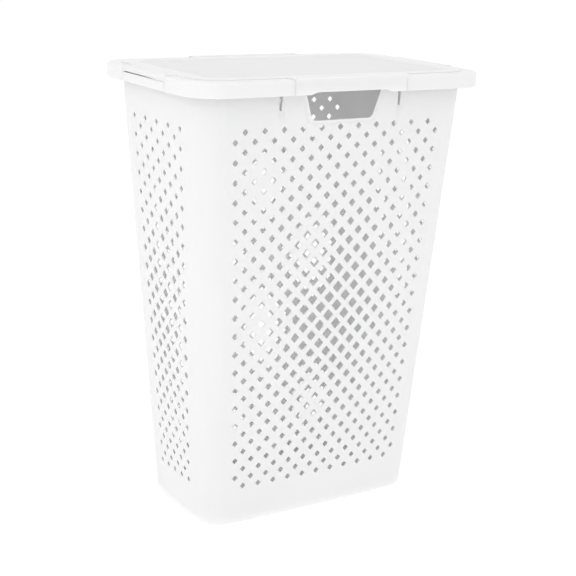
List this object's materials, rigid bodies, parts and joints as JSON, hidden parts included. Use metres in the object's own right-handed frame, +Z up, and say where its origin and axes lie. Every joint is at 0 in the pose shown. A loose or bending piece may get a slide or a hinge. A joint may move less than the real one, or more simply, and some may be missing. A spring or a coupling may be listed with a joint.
{
  "type": "laundry hamper with lid",
  "caption": "Slim tapered laundry hamper with diamond-perforated walls, hand holes under the rim and a nested lid that hinges at the back.",
  "frame": {"origin": "centre of the base, on the floor", "axes": "+Z up, +X along the wide side, front of the hamper towards -Y"},
  "size_m": [0.4436, 0.2826, 0.601],
  "materials": {
    "basket": "white moulded polypropylene, satin",
    "lid": "white moulded polypropylene, finely textured top"
  },
  "bodies": {
    "basket": {"floor_pan": "basket", "front_grille": "basket", "back_grille": "basket", "left_grille": "basket", "right_grille": "basket", "front_hand_panel": "basket", "back_hand_panel": "basket", "column_front_left": "basket", "column_front_right": "basket", "column_back_left": "basket", "column_back_right": "basket", "rim_corner_front_left": "basket", "rim_corner_front_right": "basket", "rim_corner_back_left": "basket", "rim_corner_back_right": "basket", "rim_left_bridge": "basket", "rim_right_bridge": "basket", "rim_front_bridge": "basket", "rim_back_bridge": "basket", "hinge_sockets": "basket"},
    "lid": {"lid_panel": "lid", "lid_left_wing": "lid", "lid_right_wing": "lid", "lid_front_tab": "lid", "lid_hinge_barrel": "lid", "lid_hinge_pins": "lid"}
  },
  "joints": [
    {"name": "lid_hinge", "type": "hinge", "parent": "basket", "child": "lid", "pos_m": [0, 0.134, 0.5945], "axis": [-1, 0, 0], "range_deg": [0, 105]}
  ]
}
